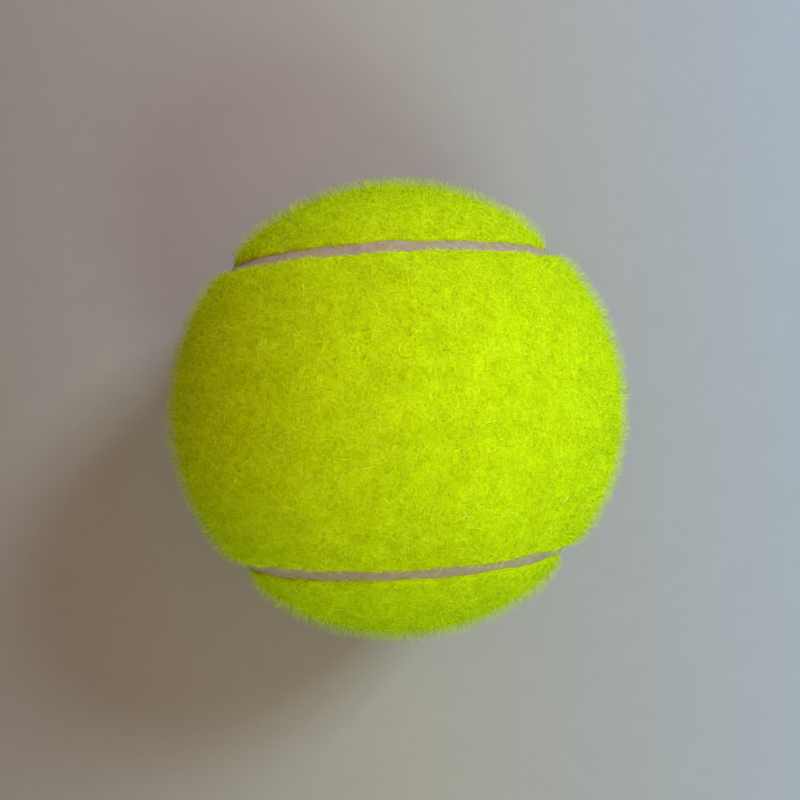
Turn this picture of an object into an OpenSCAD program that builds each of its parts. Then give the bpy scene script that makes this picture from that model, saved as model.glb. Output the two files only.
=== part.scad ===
// Tennis ball: a hollow core of two moulded rubber half shells that are cemented
// rim to rim, covered by two dumbbell-shaped felt panels, each on its own film of
// cement, with a rubber seam line filling the gap between the panels.
// The origin is the centre of the ball. +Z points out through the waist of
// panel A, and panel A runs along X. Units are millimetres and degrees.

/* [Ball] */
// Diameter of the ball over the nap of its felt
ball_d = 66.6; // [65.4:0.1:68.6]

/* [Core] */
// Wall of each half shell
core_wall = 3.5; // [2.8:0.1:4.6]
// Cement between the rims of the two half shells
joint_t = 0.2; // [0.1:0.05:0.5]

/* [Cover] */
// Cement film between the core and each panel
film_t = 0.2; // [0.1:0.05:0.4]
// Felt, from its backing to the top of its nap
felt_t = 3.1; // [2.6:0.1:3.8]
// Width over which the nap rolls down to the seam
shoulder_w = 5.5; // [2.5:0.1:7]

/* [Seam] */
// Width of the seam line
seam_w = 2.0; // [1.4:0.1:2.8]
// Depth of the seam line below the top of the nap
groove_d = 1.4; // [1:0.1:2]
// Height of the felt's edge above the seam line
lip_h = 0.1; // [0.05:0.05:0.5]
// Angle from seam to seam across the waist of a panel, at the centre of the ball
waist_angle = 77.6; // [72:0.4:88]

/* [Facets] */
// Flats along each of the seam's four arcs
arc_steps = 32; // [16:2:48]
// Sides of a drawn circle
round_steps = 128; // [64:8:192]

/* [Hidden] */
$fn = round_steps;

// The layers, as radii from the centre of the ball
felt_r = ball_d / 2;
backing_r = felt_r - felt_t;
core_r = backing_r - film_t;
core_bore_r = core_r - core_wall;
seam_r = felt_r - groove_d;
felt_edge_r = seam_r + lip_h;
// The cutters reach past the felt by this share of its radius, so that their flats clear it
reach_share = 1.5;
cutter_r = felt_r * reach_share;

// The seam is four equal arcs, one around each round end of a panel. The ends are
// lobes whose centres lie on the equator, a quarter turn apart. Lobes 0 and 2 belong to
// panel A, and their arcs pass below the equator. Lobes 1 and 3 belong to panel B, and
// theirs pass above it. Neighbouring arcs meet on the equator, half way between two lobes.
LOBE_SIDES = [-1, 1, -1, 1];
lobe_turn = 360 / len(LOBE_SIDES);
loop_steps = len(LOBE_SIDES) * arc_steps;

// An arc is fuller than a circle. It is lobe_turn / 2 from its lobe's centre at both of
// its ends, and further by arc_bulge in its middle, which is at the other panel's waist.
arc_bulge = (lobe_turn - waist_angle) / 2;
BULGE_POWER = 4;

// The roll of the nap is a quarter ellipse in this many flats. The last flat is
// carried on past the top of the nap by overrun_h, so that it cuts the sphere cleanly.
ROLL_FLATS = 4;
overrun_h = 0.15;
seam_edge = degrees_at(seam_w / 2, seam_r);

rubber = [0.20, 0.19, 0.18];
cement = [0.72, 0.66, 0.50];
felt = [0.74, 0.86, 0.05];
seam_grey = [0.62, 0.57, 0.54];

// Angle at the centre of the ball that an arc of this length takes at this radius
function degrees_at(length, radius) = length / radius * 180 / PI;

// Directions from the centre of the ball to a lobe, and from the lobe to its arc's middle and end
function lobe_centre(k) = [cos(k * lobe_turn), sin(k * lobe_turn), 0];
function lobe_up(k) = [0, 0, LOBE_SIDES[k]];
function lobe_across(k) = [-sin(k * lobe_turn), cos(k * lobe_turn), 0];

// Point i of the loop that runs this far inside the seam's centre line, in degrees towards panel A
function loop_point(i, inside, radius) =
    let (k = floor(i / arc_steps),
         along = 2 * (i % arc_steps) / arc_steps - 1,
         turn = 90 * along,
         spread = lobe_turn / 2 + arc_bulge * (1 - pow(along, BULGE_POWER)) + LOBE_SIDES[k] * inside)
    radius * (cos(spread) * lobe_centre(k)
              + sin(spread) * (cos(turn) * lobe_up(k) + sin(turn) * lobe_across(k)));

// Point j of the line along the middle of panel A, from one lobe centre over the pole to the other
function spine_point(j, radius) =
    let (turn = 180 * j / arc_steps)
    radius * [cos(turn), 0, sin(turn)];

// The point of that line which lies opposite point i of the loop
function spine_index(i) =
    let (k = floor(i / arc_steps), j = i % arc_steps)
    k == 0 ? 0 : k == 1 ? j : k == 2 ? arc_steps : arc_steps - j;

// A shape that follows the loop has one ring of points for each of its corners.
// A corner is [degrees inside the centre line, radius].
function rings_of(corners) = [for (c = corners) for (i = [0 : loop_steps - 1]) loop_point(i, c[0], c[1])];
function at(ring, i) = ring * loop_steps + i % loop_steps;
function joined(from, to) = [
    for (i = [0 : loop_steps - 1]) each [
        [at(from, i), at(to, i), at(to, i + 1)],
        [at(from, i), at(to, i + 1), at(from, i + 1)]]];

// Everything over panel A, with its apex at the centre of the ball. The corners
// run from the inside out, and the last one's ring is closed along the spine.
module over_panel(corners) {
    last = len(corners) - 1;
    spine_start = len(corners) * loop_steps;
    apex = spine_start + arc_steps + 1;
    function spine(i) = spine_start + spine_index(i % loop_steps);
    points = concat(
        rings_of(corners),
        [for (j = [0 : arc_steps]) spine_point(j, corners[last][1])],
        [[0, 0, 0]]);
    faces = concat(
        [for (i = [0 : loop_steps - 1]) [apex, at(0, i), at(0, i + 1)]],
        [for (ring = [0 : last - 1]) each joined(ring, ring + 1)],
        [for (i = [0 : loop_steps - 1]) [at(last, i), spine(i), at(last, i + 1)]],
        [for (i = [0 : loop_steps - 1])
            if (spine(i) != spine(i + 1)) [at(last, i + 1), spine(i), spine(i + 1)]]);
    polyhedron(points, faces);
}

// Straight walls that run out from the centre of the ball, at the edge of the seam line
module over_panel_straight() {
    over_panel([[seam_edge, core_bore_r], [seam_edge, cutter_r]]);
}

// The same walls up to the felt's edge, and then the roll of the nap
module over_panel_rolled() {
    roll_h = felt_r - felt_edge_r;
    roll = [
        for (flat = [0 : ROLL_FLATS - 1])
            let (a = 90 * flat / ROLL_FLATS) [shoulder_w * (1 - cos(a)), felt_edge_r + roll_h * sin(a)]];
    last = roll[len(roll) - 1];
    slope = (shoulder_w - last[0]) / (felt_r - last[1]);
    past = [shoulder_w + overrun_h * slope, felt_r + overrun_h];
    outline = concat(roll, [past, [past[0], cutter_r]]);
    over_panel(concat(
        [[seam_edge, core_bore_r]],
        [for (p = outline) [seam_edge + degrees_at(p[0], felt_r), p[1]]]));
}

// Panel B is panel A turned over about the line where their lobes meet
module turned_to_b() {
    rotate(a = 180, v = [1, 1, 0]) children();
}

module shell(inner_r, outer_r) {
    difference() {
        sphere(r = outer_r);
        sphere(r = inner_r);
    }
}

module core_half() {
    color(rubber) difference() {
        shell(core_bore_r, core_r);
        translate([-ball_d, -ball_d, joint_t / 2 - 2 * ball_d]) cube(2 * ball_d);
    }
}

module core_joint_cement() {
    color(cement) intersection() {
        shell(core_bore_r, core_r);
        translate([-ball_d, -ball_d, -joint_t / 2]) cube([2 * ball_d, 2 * ball_d, joint_t]);
    }
}

module panel_cement() {
    color(cement) intersection() {
        shell(core_r, backing_r);
        over_panel_straight();
    }
}

module felt_panel() {
    color(felt) intersection() {
        shell(backing_r, felt_r);
        over_panel_rolled();
    }
}

// A closed band that fills the gap between the panels, from the core outwards
module seam_rubber() {
    corners = [[-seam_edge, core_r], [-seam_edge, seam_r], [seam_edge, seam_r], [seam_edge, core_r]];
    sides = len(corners);
    color(seam_grey)
        polyhedron(rings_of(corners), [for (ring = [0 : sides - 1]) each joined(ring, (ring + 1) % sides)]);
}

core_half();  // core_half_upper
mirror([0, 0, 1]) core_half();  // core_half_lower
core_joint_cement();
panel_cement();  // panel_cement_a
turned_to_b() panel_cement();  // panel_cement_b
felt_panel();  // felt_panel_a
turned_to_b() felt_panel();  // felt_panel_b
seam_rubber();
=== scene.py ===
"""Looks of a tennis ball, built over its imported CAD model.

Each felt panel is a thick, rolled-over cloth with the uneven surface of a nap, and
carries its fibres as separate meshes: a matted layer that lies along the cloth, and
loose ones that stand off it. A strip of grainy rubber fills the gap between the panels.
"""

import math
from dataclasses import dataclass
from itertools import product

import bmesh
import bpy
import numpy as np
from mathutils import Matrix, Vector


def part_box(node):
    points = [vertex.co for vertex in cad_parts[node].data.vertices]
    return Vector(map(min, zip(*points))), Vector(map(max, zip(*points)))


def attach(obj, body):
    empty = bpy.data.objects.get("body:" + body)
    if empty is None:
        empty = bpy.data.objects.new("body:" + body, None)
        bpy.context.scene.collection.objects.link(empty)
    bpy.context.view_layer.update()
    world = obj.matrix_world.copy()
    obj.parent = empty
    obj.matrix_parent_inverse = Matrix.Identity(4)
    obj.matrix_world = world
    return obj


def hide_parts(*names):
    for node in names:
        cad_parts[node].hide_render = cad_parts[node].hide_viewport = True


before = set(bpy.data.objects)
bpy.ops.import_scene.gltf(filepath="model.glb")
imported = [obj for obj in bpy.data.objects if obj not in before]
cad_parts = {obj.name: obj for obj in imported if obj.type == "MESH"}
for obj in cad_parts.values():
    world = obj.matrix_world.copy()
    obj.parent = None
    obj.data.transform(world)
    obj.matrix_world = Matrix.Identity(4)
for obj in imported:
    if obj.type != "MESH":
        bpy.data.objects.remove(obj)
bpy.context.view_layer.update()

# The ball's own sizes as part.scad has them, in metres and radians
MM = 0.001
FELT_T = 3.1 * MM
SHOULDER_W = 5.5 * MM
SEAM_W = 2.0 * MM
GROOVE_D = 1.4 * MM
LIP_H = 0.1 * MM
WAIST_ANGLE = math.radians(77.6)
BULGE_POWER = 4
ARCS = 4

# What follows from them and from the frame. Distances along the ball are measured at BALL_R.
BALL_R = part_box("felt_panel_a")[1][2]
CORE_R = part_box("core_half_upper")[1][2]
BACKING_R = BALL_R - FELT_T
SEAM_R = BALL_R - GROOVE_D
FELT_EDGE_R = SEAM_R + LIP_H
SEAM_EDGE = SEAM_W / 2 * BALL_R / SEAM_R
ARC_BULGE = (math.pi / 2 - WAIST_ANGLE) / 2

# The matted nap lies below the loose fuzz that makes up the ball's outline. This is the
# top of it, how deep it is, and what is left of its unevenness at the felt's edge.
NAP_R = BALL_R - 0.75 * MM
NAP_DEPTH = 0.20 * MM
EDGE_UNEVEN = 0.3

# How uneven the nap, the felt's edges and the seam are, as the size and height of each noise
CLUMPS = [(5.0 * MM, 0.08 * MM), (1.8 * MM, 0.06 * MM), (0.7 * MM, 0.06 * MM)]
EDGE_WAVES = [(4.0 * MM, 0.30 * MM), (1.3 * MM, 0.18 * MM)]
SEAM_LUMPS = [(2.5 * MM, 0.08 * MM), (0.6 * MM, 0.03 * MM)]

# How far the seam strip reaches under the felt, and the width of the painted shade along the felt's rim
EDGE_TUCK = 0.1 * MM
RIM_SHADE_W = 0.45 * MM

# Steps along each arc of the seam, and rows across a panel's back, roll and top and across
# the strip. The last row before a panel's middle line lies this share of the way to it.
ARC_STEPS = 180
BACK_ROWS, ROLL_ROWS, TOP_ROWS = 6, 12, 46
STRIP_ROWS = 12
LAST_SHARE = 0.98
WELD_GAP = 0.001 * MM

# Each noise has seeds of its own, a few in a row
SEED = 7
NOISE_CELLS = 64
EDGE_SEED, NAP_SEED, SEAM_SEED, COMB_SEED, TUFT_SEED = (SEED + 10 * k for k in range(1, 6))


# Shapes on the ball

def unit(v):
    return v / np.linalg.norm(v, axis=-1, keepdims=True)


def noise(points, size, seed):
    """Smooth noise from -1 to 1, with lumps of this size."""
    table = np.random.default_rng(seed).uniform(-1, 1, (NOISE_CELLS,) * 3)
    at = points / size
    cell = np.floor(at).astype(int)
    part = at - cell
    part = part * part * (3 - 2 * part)
    total = 0
    for corner in product((0, 1), repeat=3):
        weight = np.prod(np.where(corner, part, 1 - part), axis=-1)
        index = (cell + corner) % NOISE_CELLS
        total = total + weight * table[index[..., 0], index[..., 1], index[..., 2]]
    return total


def layers(p, sizes, seed):
    """The sum of several noises over the ball, each a (size, height) pair."""
    return sum(h * noise(p * BALL_R, size, seed + i) for i, (size, h) in enumerate(sizes))


def arc_radius(turn):
    """Angle from a lobe's centre to the seam, at this turn about the lobe from the middle of its arc."""
    return math.pi / 4 + ARC_BULGE * (1 - (turn / (math.pi / 2)) ** BULGE_POWER)


def inside_a(p):
    """Angle from the seam's centre line to each unit vector, positive over panel A."""
    x, y, z = np.abs(p[..., 0]), np.abs(p[..., 1]), p[..., 2]
    from_b = np.arccos(np.clip(y, -1, 1)) - arc_radius(np.arctan2(x, np.abs(z)))
    from_a = np.arccos(np.clip(x, -1, 1)) - arc_radius(np.arctan2(y, np.abs(z)))
    return np.where(z > 0, from_b, -from_a)


def edge_distance(p):
    """Distance of the felt's edge from the seam's centre line, near each unit vector."""
    return SEAM_EDGE + layers(p, EDGE_WAVES, EDGE_SEED)


def inset(p):
    """Distance from the felt's edge to each unit vector, negative over the seam."""
    return np.abs(inside_a(p)) * BALL_R - edge_distance(p)


def on_nap(p, lift):
    """Points over these unit vectors that lie this far above the top of the matted nap.

    The nap rolls down to the seam, and all that lies above or below its top flattens on the way."""
    outward = np.clip(1 - inset(p) / SHOULDER_W, 0, 1)
    roll = np.sqrt(1 - outward**2)
    uneven = layers(p, CLUMPS, NAP_SEED) + lift
    radius = FELT_EDGE_R + (NAP_R - FELT_EDGE_R) * roll + uneven * (EDGE_UNEVEN + (1 - EDGE_UNEVEN) * roll)
    return p * radius[:, None]


def loop(steps, inward):
    """Unit vectors along the seam, steps for each of its arcs, moved by these angles towards panel A."""
    rows = []
    inward = np.broadcast_to(inward, ARCS * steps)
    turn = math.pi / 2 * (2 * np.arange(steps) / steps - 1)
    for k in range(ARCS):
        side, lobe_at = (-1, 1)[k % 2], k * math.pi / 2
        centre = np.array([math.cos(lobe_at), math.sin(lobe_at), 0])
        across = np.array([-math.sin(lobe_at), math.cos(lobe_at), 0])
        up = np.array([0, 0, side])
        spread = (arc_radius(turn) + side * inward[k * steps : (k + 1) * steps])[:, None]
        around = np.cos(turn)[:, None] * up + np.sin(turn)[:, None] * across
        rows.append(np.cos(spread) * centre + np.sin(spread) * around)
    return np.concatenate(rows)


def spine(steps):
    """For each point of a loop, the point of panel A's middle line that lies opposite it."""
    turn = np.linspace(0, math.pi, steps + 1)
    line = np.stack([np.cos(turn), 0 * turn, np.sin(turn)], axis=1)
    return np.concatenate([
        np.repeat(line[:1], steps, axis=0), line[:-1],
        np.repeat(line[-1:], steps, axis=0), line[:0:-1]])


def turned_to_b(v):
    """Panel A turned over onto panel B."""
    return np.stack([v[..., 1], v[..., 0], -v[..., 2]], axis=-1)


# Meshes

def mesh_object(name, verts, faces):
    """A new smooth object from an array of points and one of faces, all with the same number of corners."""
    mesh = bpy.data.meshes.new(name)
    sides = faces.shape[1]
    mesh.vertices.add(len(verts))
    mesh.vertices.foreach_set("co", verts.astype(np.float32).ravel())
    mesh.loops.add(faces.size)
    mesh.loops.foreach_set("vertex_index", faces.astype(np.int32).ravel())
    mesh.polygons.add(len(faces))
    mesh.polygons.foreach_set("loop_start", np.arange(0, faces.size, sides, dtype=np.int32))
    mesh.polygons.foreach_set("use_smooth", np.full(len(faces), True))
    mesh.update(calc_edges=True)
    obj = bpy.data.objects.new(name, mesh)
    bpy.context.scene.collection.objects.link(obj)
    return obj


def mesh_of_rows(name, rows, closed=False):
    """An object from rows of points, each a closed ring, with quads between each row and the next."""
    count = len(rows[0])
    r = np.arange(len(rows) if closed else len(rows) - 1)[:, None]
    i = np.arange(count)[None, :]
    a, b = r * count, (r + 1) % len(rows) * count
    j = (i + 1) % count
    faces = np.stack([a + i, a + j, b + j, b + i], axis=-1).reshape(-1, 4)
    return mesh_object(name, np.concatenate(rows), faces)


def weld(obj):
    """Joins the points of a mesh that lie in the same place."""
    bm = bmesh.new()
    bm.from_mesh(obj.data)
    bmesh.ops.remove_doubles(bm, verts=bm.verts, dist=WELD_GAP)
    bm.to_mesh(obj.data)
    bm.free()


def dress(obj, material):
    """Gives an object its material and its body."""
    obj.data.materials.append(material)
    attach(obj, "root")
    return obj


# Felt panels and seam

def felt_panel(name, turned):
    """One felt panel: its backing, its cut edge, the roll of its nap, and its top."""
    place = turned_to_b if turned else (lambda v: v)
    middle = place(spine(ARC_STEPS))
    edge_angle = edge_distance(place(loop(ARC_STEPS, SEAM_EDGE / BALL_R))) / BALL_R

    def at_inset(distance):
        return place(loop(ARC_STEPS, edge_angle + distance / BALL_R))

    edge, inner = at_inset(0), at_inset(SHOULDER_W)
    rows = [middle * BACKING_R]
    for share in np.linspace(LAST_SHARE, 0, BACK_ROWS):
        rows.append(BACKING_R * unit((1 - share) * edge + share * middle))
    for share in 1 - np.cos(np.linspace(0, math.pi / 2, ROLL_ROWS)):
        rows.append(on_nap(at_inset(SHOULDER_W * share), -NAP_DEPTH))
    for share in np.linspace(0, LAST_SHARE, TOP_ROWS)[1:]:
        rows.append(on_nap(unit((1 - share) * inner + share * middle), -NAP_DEPTH))
    rows.append(on_nap(middle, -NAP_DEPTH))
    panel = mesh_of_rows(name, rows)
    weld(panel)
    note_rim_shade(panel)
    return panel


def note_rim_shade(panel):
    """Notes at each point of a panel how far it is from the felt's edge, as a share of the width of the
    painted rim shade.
    """
    place = np.zeros(3 * len(panel.data.vertices), dtype=np.float32)
    panel.data.vertices.foreach_get("co", place)
    p = unit(place.reshape(-1, 3).astype(float))
    share = panel.data.attributes.new("rim_shade_share", "FLOAT", "POINT")
    share.data.foreach_set("value", np.clip(inset(p) / RIM_SHADE_W, 0, 1).astype(np.float32))


def seam_strip():
    """The seam line: a slightly uneven strip, tucked a little under the felt's edges."""
    edge_a, edge_b = (
        (edge_distance(loop(ARC_STEPS, side * SEAM_EDGE / BALL_R)) + EDGE_TUCK) / BALL_R for side in (1, -1))
    rows = []
    for share in np.linspace(-1, 1, STRIP_ROWS):
        p = loop(ARC_STEPS, share * (edge_a if share > 0 else edge_b))
        rows.append(p * (SEAM_R + layers(p, SEAM_LUMPS, SEAM_SEED))[:, None])
    rows += [loop(ARC_STEPS, edge_a) * CORE_R, loop(ARC_STEPS, -edge_b) * CORE_R]
    return mesh_of_rows("seam_line", rows, closed=True)


# Fibres

@dataclass
class Kind:
    """A kind of fibre, and how many of it a panel has: so many in a piece, and so many pieces.

    Its length along the cloth and its rise off it are (least, most), and its curl is in
    radians. By its bow, up to this share of the rise comes in the middle and not at the tip.
    A kind with a reach is rooted only that near to the felt's edge, in tufts, and may cross it."""

    name: str
    count: int
    pieces: int
    length: tuple
    rise: tuple
    curl: float
    bow: float
    points: int
    width: float
    reach: float = 0.0


KINDS = [
    Kind("nap", 45000, 4, length=(0.4 * MM, 1.4 * MM), rise=(0.0, 0.22 * MM),
         curl=1.2, bow=1.0, points=3, width=0.030 * MM),
    Kind("lock", 9000, 1, length=(0.5 * MM, 1.5 * MM), rise=(0.03 * MM, 0.30 * MM),
         curl=1.6, bow=1.0, points=4, width=0.065 * MM),
    Kind("fuzz", 33000, 3, length=(0.6 * MM, 2.0 * MM), rise=(0.1 * MM, 2.4 * MM),
         curl=1.8, bow=0.8, points=4, width=0.013 * MM),
    Kind("stray", 1200, 1, length=(0.8 * MM, 2.6 * MM), rise=(0.4 * MM, 2.0 * MM),
         curl=2.4, bow=0.8, points=9, width=0.022 * MM),
    Kind("edge", 4500, 1, length=(0.2 * MM, 1.1 * MM), rise=(0.1 * MM, 0.9 * MM),
         curl=1.6, bow=0.8, points=5, width=0.028 * MM, reach=0.8 * MM)]

# Most rises are small: each is a random share, raised to this power, of the way to the most
RISE_POWER = 1.3

# The fibres at the felt's edge: how many roots are tried along each arc of the seam, how many
# are right at the edge for each one further in, and the tufts that they gather in
EDGE_ROOTS = 2000
AT_EDGE = 0.5
TUFT_SIZE = 2.0 * MM
TUFT_LIMITS = (-0.8, 0.4)

# The direction that a fibre sets off in is part combed and part random
COMB_SIZE = 5 * MM
COMB_SHARE = 0.35
WILD_SHARE = 0.6

# Of the fibres that would pass the felt's edge by more than this, this share is kept
EDGE_SLACK = 0.05 * MM
SEAM_CROSSERS = 0.04

# A fibre is a ribbon, rolled about its length by up to this, that narrows towards its tip
RIBBON_ROLL = 1.2
WIDTH_SHARES = (0.7, 1.3)
TAPER_START = 0.7
TIP_SHARE = 0.35
CLOTH_SHADING = 0.65

# The part of a fibre's cell in the UV map that it fills
CELL_LOW, CELL_HIGH = 0.3, 0.7


def root_places(rng, count, side, kind):
    """Unit vectors over one panel, spread evenly, or all near to its edge."""
    if not kind.reach:
        p = unit(rng.normal(size=(count, 3)))
        return p[side * inside_a(p) > SEAM_EDGE / BALL_R]
    inward = rng.uniform(-AT_EDGE, 1, size=ARCS * EDGE_ROOTS) * kind.reach / BALL_R
    line = loop(EDGE_ROOTS, side * SEAM_EDGE / BALL_R)
    p = loop(EDGE_ROOTS, side * (edge_distance(line) / BALL_R + np.maximum(inward, 0)))
    return p[noise(p * BALL_R, TUFT_SIZE, TUFT_SEED) > rng.uniform(*TUFT_LIMITS, size=len(p))]


def along_ball(v, p):
    """The directions v, laid flat on the ball at the unit vectors p."""
    return unit(v - (v * p).sum(-1, keepdims=True) * p)


def fibre_paths(rng, kind, turned):
    """Paths of fibres over one panel, as an array of (fibre, point, xyz).

    Each one sets off along the cloth in a partly combed direction, turns as it goes,
    and rises off the cloth towards its tip or, by its bow, towards its middle."""
    side = -1 if turned else 1
    steps = kind.points - 1
    kept, have = [], 0
    while have < kind.count:
        p = root_places(rng, kind.count, side, kind)
        n = len(p)
        combed = np.stack([noise(p * BALL_R, COMB_SIZE, COMB_SEED + k) for k in range(3)], axis=-1)
        way = along_ball(combed * COMB_SHARE + rng.normal(size=(n, 3)) * WILD_SHARE, p)
        length = rng.uniform(*kind.length, size=n)
        curl = rng.normal(size=n) * kind.curl
        root = rng.uniform(-1, 0, size=n) * NAP_DEPTH
        least, most = kind.rise
        top = least + (most - least) * rng.random(n) ** RISE_POWER
        bow = rng.uniform(0, kind.bow, size=n)
        path, clear = [], np.ones(n, bool)
        for step in range(kind.points):
            share = step / steps
            rise = bow * math.sin(math.pi * share) + (1 - bow) * share
            path.append(on_nap(p, root + top * rise))
            clear &= side * inside_a(p) * BALL_R > edge_distance(p) - EDGE_SLACK
            p = unit(p + way * (length / steps / BALL_R)[:, None])
            angle = (curl / steps)[:, None]
            way = along_ball(np.cos(angle) * way + np.sin(angle) * np.cross(p, way), p)
        few = rng.random(n) < (1 if kind.reach else SEAM_CROSSERS)
        path = np.stack(path, axis=1)[clear | few]
        kept.append(path)
        have += len(path)
    return np.concatenate(kept)[: kind.count]


def fibre_mesh(name, paths, width, rng):
    """Fibres as one mesh of thin ribbons, each rolled at random about its own length.

    They are shaded mostly as the cloth under them is, which gives a soft, even nap."""
    count, points, _ = paths.shape
    along = unit(np.gradient(paths, axis=1))
    out = unit(paths)
    flat = unit(np.cross(along, out))
    up = np.cross(flat, along)
    roll = rng.uniform(-RIBBON_ROLL, RIBBON_ROLL, size=(count, 1, 1))
    across = np.cos(roll) * flat + np.sin(roll) * up
    face = np.cos(roll) * up - np.sin(roll) * flat
    taper = np.interp(np.linspace(0, 1, points), [0, TAPER_START, 1], [1, 1, TIP_SHARE])[None, :, None]
    half = across * taper * (width / 2 * rng.uniform(*WIDTH_SHARES, size=(count, 1, 1)))
    verts = np.stack([paths - half, paths + half], axis=2)
    base = (np.arange(count) * 2 * points)[:, None] + 2 * np.arange(points - 1)[None, :]
    faces = np.stack([base, base + 1, base + 3, base + 2], axis=-1).reshape(-1, 4)
    obj = mesh_object(name, verts.reshape(-1, 3), faces)
    shading = np.repeat(unit(out * CLOTH_SHADING + face * (1 - CLOTH_SHADING)), 2, axis=1)
    obj.data.normals_split_custom_set_from_vertices(shading.reshape(-1, 3))
    add_bake_cells(obj, count, points)
    return obj


def add_bake_cells(obj, count, points):
    """A UV map that gives each fibre a small cell of its own."""
    cells = math.ceil(math.sqrt(count))
    column, row = np.arange(count) % cells, np.arange(count) // cells
    uv = np.zeros((count, points, 2, 2))
    uv[..., 0] = (column[:, None, None] + np.array([CELL_LOW, CELL_HIGH])) / cells
    uv[..., 1] = (row[:, None, None] + np.linspace(CELL_LOW, CELL_HIGH, points)[None, :, None]) / cells
    corner = np.zeros(len(obj.data.loops), dtype=np.int32)
    obj.data.loops.foreach_get("vertex_index", corner)
    layer = obj.data.uv_layers.new(name="OFBake")
    layer.data.foreach_set("uv", uv.reshape(-1, 2)[corner].astype(np.float32).ravel())


# Materials

WHITE = (1.0, 1.0, 1.0)


class Nodes:
    """A material's node tree, with short calls for adding nodes and linking them."""

    def __init__(self, name):
        self.material = bpy.data.materials.new(name)
        self.material.use_nodes = True
        self.tree = self.material.node_tree
        self.shader = self.tree.nodes["Principled BSDF"]

    def add(self, kind, **settings):
        """A new node, with its sockets or its own settings set."""
        node = self.tree.nodes.new("ShaderNode" + kind)
        for key, value in settings.items():
            if key in node.inputs:
                node.inputs[key].default_value = value
            else:
                setattr(node, key, value)
        return node

    def link(self, source, target):
        self.tree.links.new(source, target)

    def noise(self, scale, detail, roughness):
        """Noise over the object, scale times to the metre."""
        where = self.add("TexCoord")
        node = self.add("TexNoise", Scale=scale, Detail=detail, Roughness=roughness)
        self.link(where.outputs["Object"], node.inputs["Vector"])
        return node.outputs["Fac"]

    def ramp(self, source, *stops):
        """A colour ramp through (position, colour) stops."""
        node = self.add("ValToRGB")
        band = node.color_ramp
        while len(band.elements) < len(stops):
            band.elements.new(0.5)
        for element, (position, colour) in zip(band.elements, stops):
            element.position = position
            element.color = (*colour, 1)
        self.link(source, node.inputs["Fac"])
        return node.outputs["Color"]

    def times(self, a, b):
        """One colour multiplied by another. A Mix node's colours are its sockets 6 and 7, and output 2."""
        node = self.add("Mix", data_type="RGBA", blend_type="MULTIPLY", Factor=1.0)
        self.link(a, node.inputs[6])
        self.link(b, node.inputs[7])
        return node.outputs[2]

    def bump(self, height, strength, distance):
        node = self.add("Bump", Strength=strength, Distance=distance)
        self.link(height, node.inputs["Height"])
        self.link(node.outputs["Normal"], self.shader.inputs["Normal"])

    def set(self, **values):
        """Sets the shader's own sockets, with an underscore for each space in a name."""
        for key, value in values.items():
            self.shader.inputs[key.replace("_", " ")].default_value = value


def felt_nodes(name, dark, light):
    """The nodes that the cloth and its fibres share, and their colour: mottled, with painted shade in small
    dark pits between the fibres.
    """
    n = Nodes(name)
    patches = n.ramp(n.noise(260, 3, 0.55), (0.35, dark), (0.65, light))
    # Painted shade: small dark spots for the shade that falls between the fibres
    painted_pit_shade = n.ramp(n.noise(2600, 2, 0.5), (0.24, (0.52, 0.54, 0.4)), (0.40, WHITE))
    n.set(Roughness=0.9, Sheen_Weight=0.15, Sheen_Roughness=0.5, Sheen_Tint=(0.8, 1.0, 0.02, 1.0))
    n.set(Specular_IOR_Level=0.08, Specular_Tint=(1.0, 1.0, 0.1, 1.0))
    return n, n.times(patches, painted_pit_shade)


def cloth_material():
    """Felted wool and nylon, dyed yellow, with painted shade that darkens it along its cut rim."""
    n, colour = felt_nodes("felt", (0.54, 0.69, 0.002), (0.60, 0.755, 0.003))
    from_edge = n.add("Attribute", attribute_name="rim_shade_share").outputs["Fac"]
    # Painted shade along the cut rim, where the felt rolls down into the seam's groove
    rim_shade = n.ramp(from_edge, (0.3, (0.68, 0.70, 0.9)), (1.0, WHITE))
    n.link(n.times(colour, rim_shade), n.shader.inputs["Base Color"])
    n.bump(n.noise(3000, 4, 0.7), 0.6, 0.3 * MM)
    return n.material


def fibre_material():
    """The same felt on its fibres, each with a tone of its own. A few are painted pale and bright, as
    painted glints.
    """
    n, colour = felt_nodes("felt_fibre", (0.615, 0.765, 0.002), (0.68, 0.84, 0.003))
    # A random tone for each fibre; the top few per cent are painted glints
    tone_and_glint = n.ramp(
        n.add("NewGeometry").outputs["Random Per Island"],
        (0.0, (0.62, 0.66, 0.6)), (0.5, WHITE), (0.97, (1.16, 1.12, 3)), (1.0, (1.38, 1.25, 55)))
    n.link(n.times(colour, tone_and_glint), n.shader.inputs["Base Color"])
    return n.material


def rubber_material(name, dark, light, grain, roughness):
    """Matte rubber or cement with a fine grain."""
    n = Nodes(name)
    broad = n.ramp(n.noise(grain, 5, 0.65), (0.3, dark), (0.7, light))
    n.link(broad, n.shader.inputs["Base Color"])
    n.bump(n.noise(grain * 6, 3, 0.6), 0.35, 0.08 * MM)
    n.set(Roughness=roughness, Specular_IOR_Level=0.3)
    return n.material


# A pale floor with painted light and shade: warmer and darker to the left, as the photo's is
FLOOR_HALF = 1.5
FLOOR_PAINTED_LIGHT_REACH = 0.08
FLOOR_PAINTED_LIGHT = [
    (0.0, (0.217, 0.180, 0.157)), (0.5, (0.300, 0.275, 0.236)), (1.0, (0.288, 0.312, 0.354))]
FLOOR_GRAIN = [(0.3, (0.975, 0.975, 0.975)), (0.7, (1.025, 1.025, 1.025))]


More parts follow.
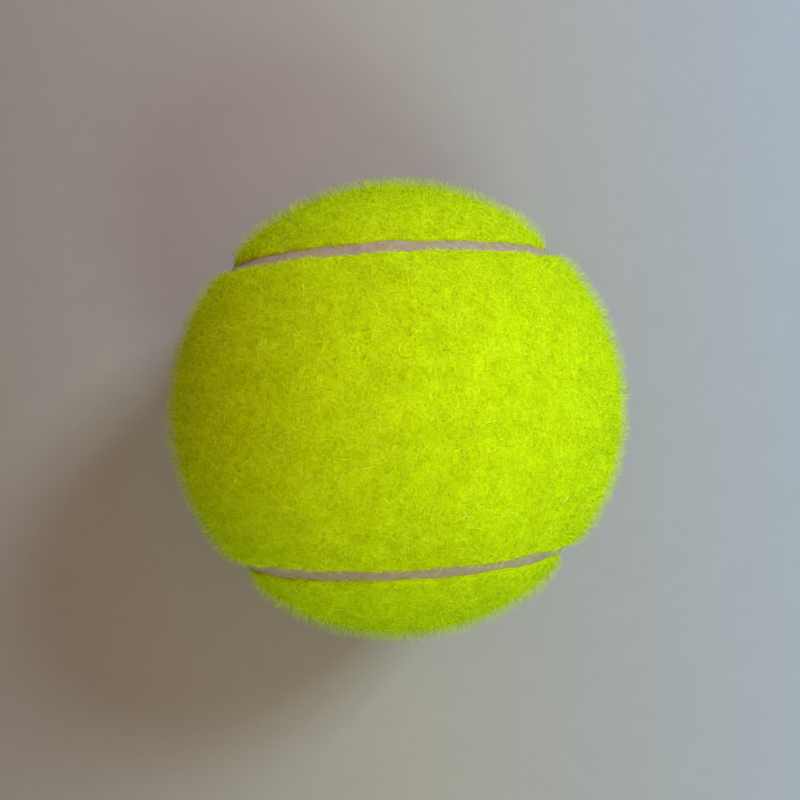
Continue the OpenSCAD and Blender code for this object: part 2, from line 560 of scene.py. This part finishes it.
def floor_material():
    n = Nodes("floor")
    place = n.add("SeparateXYZ")
    n.link(n.add("TexCoord").outputs["Object"], place.inputs[0])
    across = n.add("MapRange", **{"From Min": -FLOOR_PAINTED_LIGHT_REACH, "From Max": FLOOR_PAINTED_LIGHT_REACH})
    n.link(place.outputs["X"], across.inputs["Value"])
    # Painted light and shade: darker and warmer to the left, lighter and cooler to the right
    painted_light = n.ramp(across.outputs["Result"], *FLOOR_PAINTED_LIGHT)
    grain = n.ramp(n.noise(200, 5, 0.9), *FLOOR_GRAIN)
    n.link(n.times(painted_light, grain), n.shader.inputs["Base Color"])
    n.set(Roughness=0.9)
    return n.material


def add_floor():
    corners = np.array([[-1, -1, 0], [1, -1, 0], [1, 1, 0], [-1, 1, 0]]) * FLOOR_HALF
    floor = mesh_object("floor", corners - np.array([0, 0, BALL_R]), np.array([[0, 1, 2, 3]]))
    floor.data.materials.append(floor_material())


# Light and camera

def area_light(name, place, size, power, colour):
    """A soft square light that faces the ball."""
    data = bpy.data.lights.new(name, "AREA")
    data.shape, data.size, data.energy, data.color = "SQUARE", size, power, colour
    obj = bpy.data.objects.new(name, data)
    obj.location = place
    obj.rotation_euler = (-Vector(place)).to_track_quat("-Z", "Y").to_euler()
    bpy.context.scene.collection.objects.link(obj)


def add_world(colour, strength):
    """Even light from all around."""
    world = bpy.data.worlds.new("studio")
    world.use_nodes = True
    background = world.node_tree.nodes["Background"]
    background.inputs["Color"].default_value = (*colour, 1)
    background.inputs["Strength"].default_value = strength
    bpy.context.scene.world = world


# Where the photo has the ball, in its pixels, how far the camera is from it, and the
# directions in the camera's view of the ball's +Z and +X, as the seam lines give them
IMAGE_W = 800
SEEN_CENTRE = (397.5, 408.6)
SEEN_RADIUS = 227.0
DISTANCE_IN_RADII = 3.7
SEEN_POLE = np.array([-0.002, -0.0020, 1.0])
SEEN_LENGTH = np.array([1.0, 0.052, 0.0])
SENSOR_W_MM = 36
CLIP_START = 5 * MM


def add_camera():
    """The camera that sees the ball as the photo does."""
    focal_px = SEEN_RADIUS / math.tan(math.asin(1 / DISTANCE_IN_RADII))
    z = unit(SEEN_POLE)
    y = unit(np.cross(z, SEEN_LENGTH))
    view_to_ball = np.stack([np.cross(y, z), y, z])
    ball_seen = DISTANCE_IN_RADII * BALL_R * np.array([
        (SEEN_CENTRE[0] - IMAGE_W / 2) / focal_px, (IMAGE_W / 2 - SEEN_CENTRE[1]) / focal_px, -1])
    data = bpy.data.cameras.new("camera")
    data.sensor_width = SENSOR_W_MM
    data.lens = SENSOR_W_MM * focal_px / IMAGE_W
    data.clip_start = CLIP_START
    camera = bpy.data.objects.new("camera", data)
    place = Matrix(view_to_ball.tolist()).to_4x4()
    place.translation = Vector(-view_to_ball @ ball_seen)
    camera.matrix_world = place
    bpy.context.scene.collection.objects.link(camera)
    bpy.context.scene.camera = camera


# The ball

cloth = cloth_material()
fibre = fibre_material()
seam = rubber_material("seam_rubber", (0.285, 0.218, 0.136), (0.40, 0.31, 0.195), 900, 0.75)
core = rubber_material("core_rubber", (0.02, 0.02, 0.018), (0.045, 0.043, 0.04), 400, 0.6)
cement = rubber_material("cement", (0.36, 0.29, 0.15), (0.50, 0.42, 0.24), 700, 0.5)

for node, material in [
        ("core_half_upper", core), ("core_half_lower", core), ("core_joint_cement", cement),
        ("panel_cement_a", cement), ("panel_cement_b", cement)]:
    for material_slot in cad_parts[node].material_slots:
        material_slot.material = material

strip = dress(seam_strip(), seam)
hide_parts("seam_rubber")

rng = np.random.default_rng(SEED)
for letter, turned in (("a", False), ("b", True)):
    panel = dress(felt_panel("felt_cloth_" + letter, turned), cloth)
    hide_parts("felt_panel_" + letter)
    for kind in KINDS:
        for number in range(1, kind.pieces + 1):
            paths = fibre_paths(rng, kind, turned)
            piece = fibre_mesh(f"{kind.name}_{letter}_{number}", paths, kind.width, rng)
            dress(piece, fibre)

add_floor()

# Two keys, from the photo's upper and lower right, and a warm light overhead
area_light("key_upper_right", (0.52, 0.39, 0.55), 0.20, 8.2, (0.56, 0.78, 0.96))
area_light("key_lower_right", (0.26, -0.51, 0.56), 0.26, 3.3, (0.51, 0.93, 0.70))
area_light("warm_overhead", (0.10, 0.05, 0.80), 0.80, 2.7, (1.0, 0.12, 0.02))
add_world((1.0, 1.04, 0.98), 0.32)
bpy.context.scene.view_settings.view_transform = "Standard"
add_camera()
